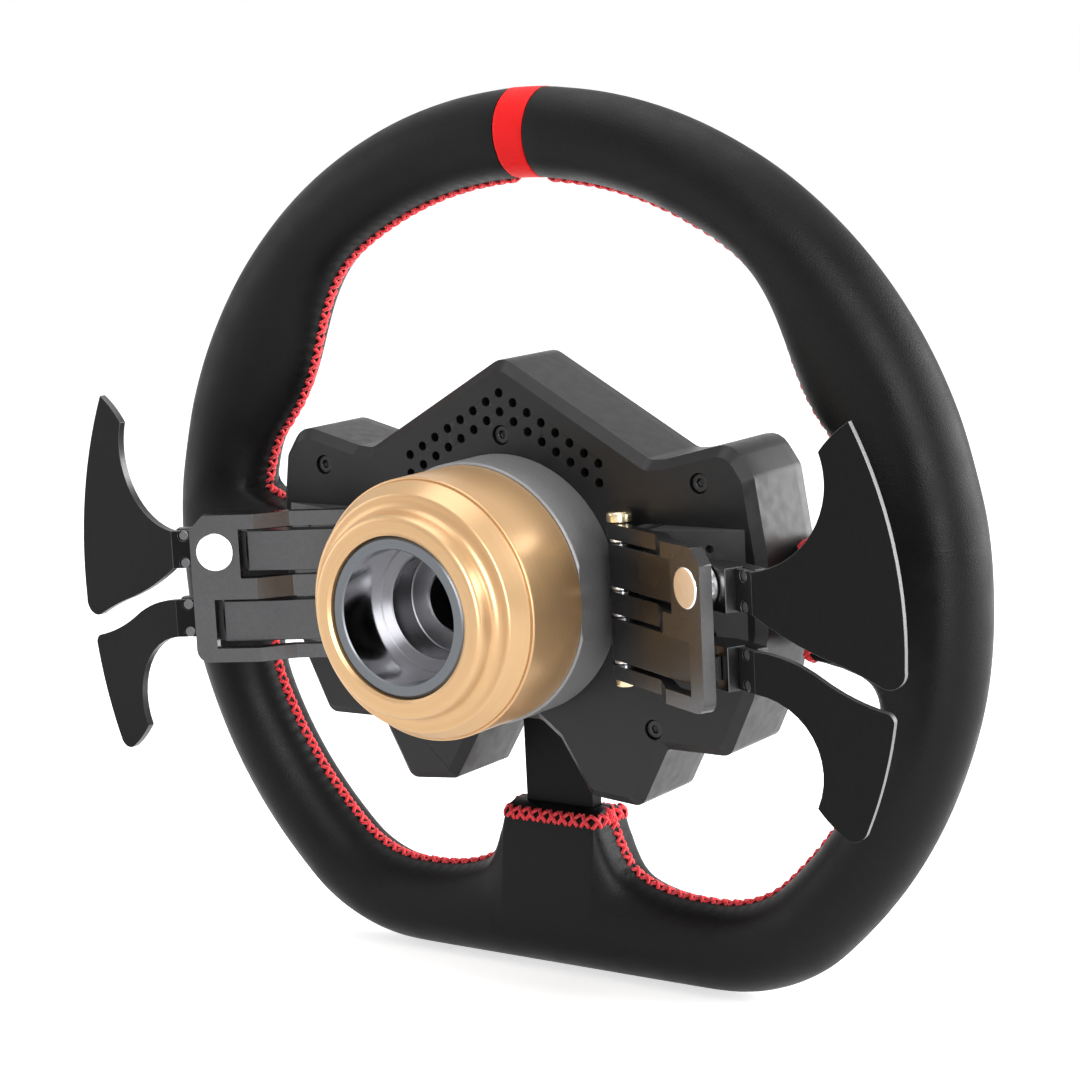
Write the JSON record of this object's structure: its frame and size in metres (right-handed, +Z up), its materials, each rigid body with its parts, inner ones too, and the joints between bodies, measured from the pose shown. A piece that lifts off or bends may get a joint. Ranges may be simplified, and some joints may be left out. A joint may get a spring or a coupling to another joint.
{
  "type": "racing wheel",
  "caption": "Flat-bottomed simulator racing wheel: stitched leather rim, control housing, hinged magnetic shift and clutch paddles behind it, and a twist-release hub socket.",
  "frame": {"origin": "on the hub axis, at the mouth of the wheel-base socket's bore at the back of the release sleeve", "axes": "+X to the driver's right, +Y rearwards out of the socket towards the wheel base, +Z up; the driver looks along +Y"},
  "size_m": [0.2994, 0.1002, 0.2779],
  "materials": {
    "frame_black": "satin black plate",
    "grip_leather": "smooth black leather, red stitching",
    "stripe_red": "red leather",
    "housing_black": "satin, finely textured",
    "block_black": "satin",
    "screw_black": "blackened steel",
    "spacer_metal": "turned",
    "adapter_grey": "satin grey anodised",
    "socket_grey": "turned, satin",
    "sleeve_gold": "polished gold anodised",
    "steel_bright": "bright",
    "spring_steel": "drawn wire",
    "board_green": "solder mask",
    "parts_dark": "moulded",
    "bracket_grey": "satin grey anodised",
    "arm_grey": "satin dark grey anodised",
    "blade_black": "satin black, fine brushed lines",
    "pin_brass": "polished",
    "magnet_bright": "polished plating",
    "button_red": "satin red",
    "button_grey": "satin grey",
    "knob_black": "fluted"
  },
  "bodies": {
    "wheel_body": {"rim_frame": "frame_black", "rim_grip": "grip_leather", "centre_stripe": "stripe_red", "rear_housing": "housing_black", "front_plate": "housing_black", "housing_screws": "screw_black", "hub_spacer": "spacer_metal", "hub_bolts": "screw_black", "hub_adapter": "adapter_grey", "qr_socket": "socket_grey", "socket_screws": "screw_black", "retaining_ring": "spring_steel", "lock_balls": "steel_bright", "sleeve_spring": "spring_steel", "circuit_board": "board_green", "board_switches": "parts_dark", "knob_encoders": "socket_grey", "right_base_block": "block_black", "right_bracket": "bracket_grey", "right_bracket_screws": "screw_black", "right_hinge_pin": "pin_brass", "right_hinge_washers": "steel_bright", "right_stop_magnet": "magnet_bright", "right_paddle_sensors": "parts_dark", "left_base_block": "block_black", "left_bracket": "bracket_grey", "left_bracket_screws": "screw_black", "left_hinge_pin": "pin_brass", "left_hinge_washers": "steel_bright", "left_stop_magnet": "magnet_bright", "left_paddle_sensors": "parts_dark"},
    "release_sleeve": {"release_sleeve": "sleeve_gold"},
    "right_upper_paddle": {"right_upper_arm": "arm_grey", "right_upper_blade": "blade_black", "right_upper_blade_screws": "screw_black"},
    "right_lower_paddle": {"right_lower_arm": "arm_grey", "right_lower_blade": "blade_black", "right_lower_blade_screws": "screw_black"},
    "right_ear_button": {"right_ear_button": "button_red"},
    "right_inner_button": {"right_inner_button": "button_grey"},
    "right_lower_button": {"right_lower_button": "button_grey"},
    "right_knob": {"right_knob": "knob_black"},
    "left_upper_paddle": {"left_upper_arm": "arm_grey", "left_upper_blade": "blade_black", "left_upper_blade_screws": "screw_black"},
    "left_lower_paddle": {"left_lower_arm": "arm_grey", "left_lower_blade": "blade_black", "left_lower_blade_screws": "screw_black"},
    "left_ear_button": {"left_ear_button": "button_red"},
    "left_inner_button": {"left_inner_button": "button_grey"},
    "left_lower_button": {"left_lower_button": "button_grey"},
    "left_knob": {"left_knob": "knob_black"}
  },
  "joints": [
    {"name": "right_upper_pull", "type": "hinge", "parent": "wheel_body", "child": "right_upper_paddle", "pos_m": [0.0456, -0.0496, 0], "axis": [0, 0, -1], "range_deg": [0, 4.5], "stiffness_Nm_per_rad": 0.8, "springref_deg": -2.86},
    {"name": "right_lower_pull", "type": "hinge", "parent": "wheel_body", "child": "right_lower_paddle", "pos_m": [0.0456, -0.0496, 0], "axis": [0, 0, -1], "range_deg": [0, 4.5], "stiffness_Nm_per_rad": 0.8, "springref_deg": -2.86},
    {"name": "left_upper_pull", "type": "hinge", "parent": "wheel_body", "child": "left_upper_paddle", "pos_m": [-0.0456, -0.0496, 0], "axis": [0, 0, 1], "range_deg": [0, 4.5], "stiffness_Nm_per_rad": 0.8, "springref_deg": -2.86},
    {"name": "left_lower_pull", "type": "hinge", "parent": "wheel_body", "child": "left_lower_paddle", "pos_m": [-0.0456, -0.0496, 0], "axis": [0, 0, 1], "range_deg": [0, 4.5], "stiffness_Nm_per_rad": 0.8, "springref_deg": -2.86},
    {"name": "sleeve_twist", "type": "hinge", "parent": "wheel_body", "child": "release_sleeve", "pos_m": [0, 0, 0], "axis": [0, 1, 0], "range_deg": [0, 25], "stiffness_Nm_per_rad": 0.3, "springref_deg": -5.73},
    {"name": "right_ear_button_press", "type": "slide", "parent": "wheel_body", "child": "right_ear_button", "axis": [0, 1, 0], "range_m": [0, 0.0015], "stiffness_N_per_m": 400, "springref_m": -0.0005},
    {"name": "right_inner_button_press", "type": "slide", "parent": "wheel_body", "child": "right_inner_button", "axis": [0, 1, 0], "range_m": [0, 0.0015], "stiffness_N_per_m": 400, "springref_m": -0.0005},
    {"name": "right_lower_button_press", "type": "slide", "parent": "wheel_body", "child": "right_lower_button", "axis": [0, 1, 0], "range_m": [0, 0.0015], "stiffness_N_per_m": 400, "springref_m": -0.0005},
    {"name": "right_knob_turn", "type": "hinge", "parent": "wheel_body", "child": "right_knob", "pos_m": [0.0345, -0.0936, -0.0505], "axis": [0, 1, 0], "continuous": true},
    {"name": "left_ear_button_press", "type": "slide", "parent": "wheel_body", "child": "left_ear_button", "axis": [0, 1, 0], "range_m": [0, 0.0015], "stiffness_N_per_m": 400, "springref_m": -0.0005},
    {"name": "left_inner_button_press", "type": "slide", "parent": "wheel_body", "child": "left_inner_button", "axis": [0, 1, 0], "range_m": [0, 0.0015], "stiffness_N_per_m": 400, "springref_m": -0.0005},
    {"name": "left_lower_button_press", "type": "slide", "parent": "wheel_body", "child": "left_lower_button", "axis": [0, 1, 0], "range_m": [0, 0.0015], "stiffness_N_per_m": 400, "springref_m": -0.0005},
    {"name": "left_knob_turn", "type": "hinge", "parent": "wheel_body", "child": "left_knob", "pos_m": [-0.0345, -0.0936, -0.0505], "axis": [0, 1, 0], "continuous": true}
  ]
}
